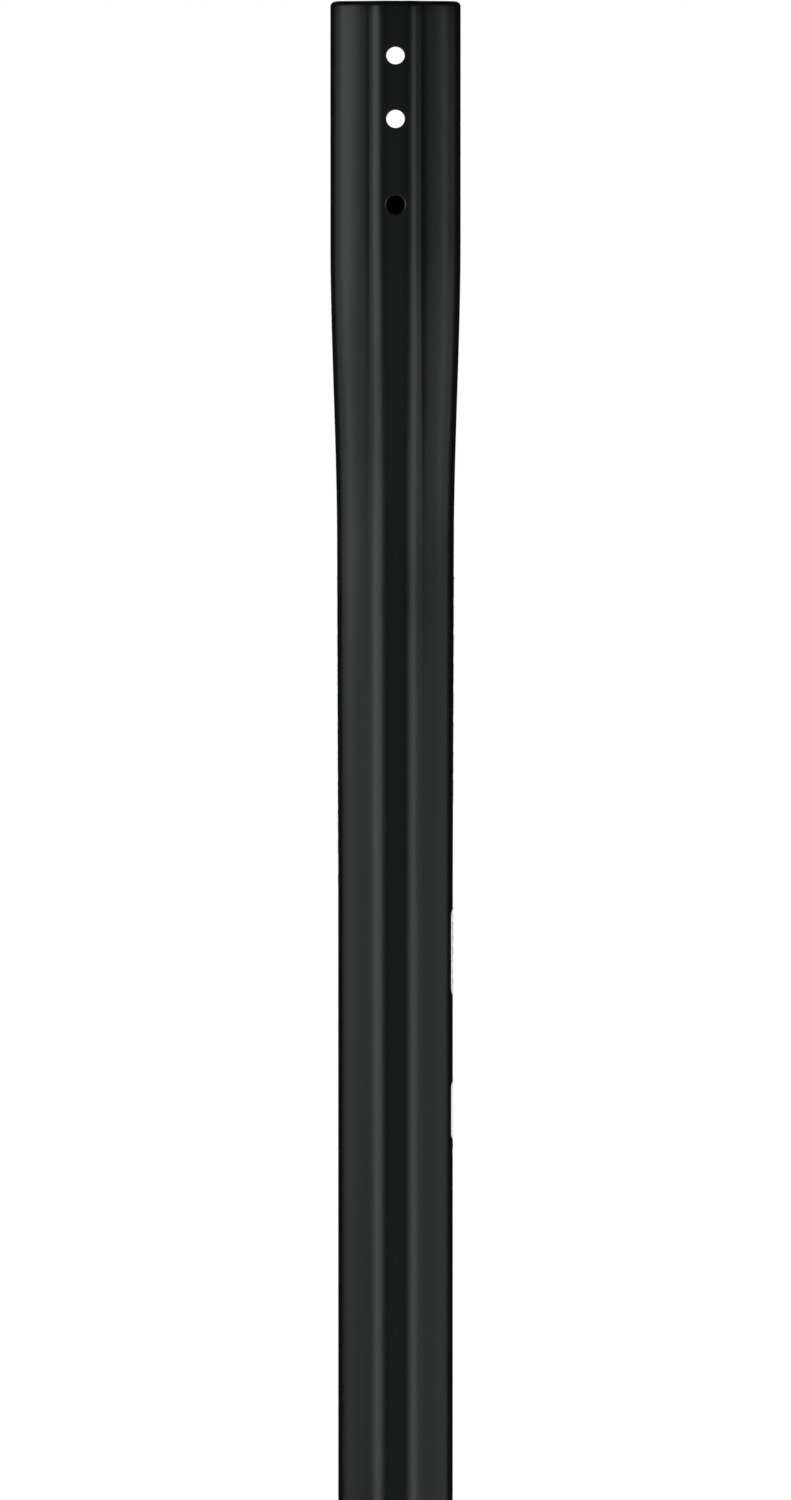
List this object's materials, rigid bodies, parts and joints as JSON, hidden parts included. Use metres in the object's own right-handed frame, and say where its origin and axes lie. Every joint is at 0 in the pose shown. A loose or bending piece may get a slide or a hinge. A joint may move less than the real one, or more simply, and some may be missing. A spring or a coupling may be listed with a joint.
{
  "type": "lacrosse handle",
  "caption": "Hollow composite lacrosse handle with a concave octagonal section, a flared head end with screw holes, and a pull-off rubber end cap.",
  "frame": {"origin": "centre of the end cap's flat foot, on the axis of the grip", "axes": "+Z along the shaft from the butt to the head end; -Y out of the narrow face that has the screw holes, towards which the head end flares; +Y out of the straight back; X across the two wide sides"},
  "size_m": [0.028, 0.033, 0.806],
  "materials": {
    "matte_shell": "satin-matte black coat on carbon composite",
    "cap_rubber": "moulded matt",
    "white_ink": "screen-printed matt"
  },
  "bodies": {
    "shaft": {"shaft_tube": "matte_shell", "dash_print_left": "white_ink", "octagon_print": "white_ink", "dash_print_right": "white_ink", "box_print": "white_ink", "tag_print": "white_ink", "caption_print": "white_ink"},
    "cap": {"end_cap": "cap_rubber"}
  },
  "joints": [
    {"name": "cap_pull", "type": "slide", "parent": "shaft", "child": "cap", "axis": [0, 0, -1], "range_m": [0, 0.045]}
  ]
}
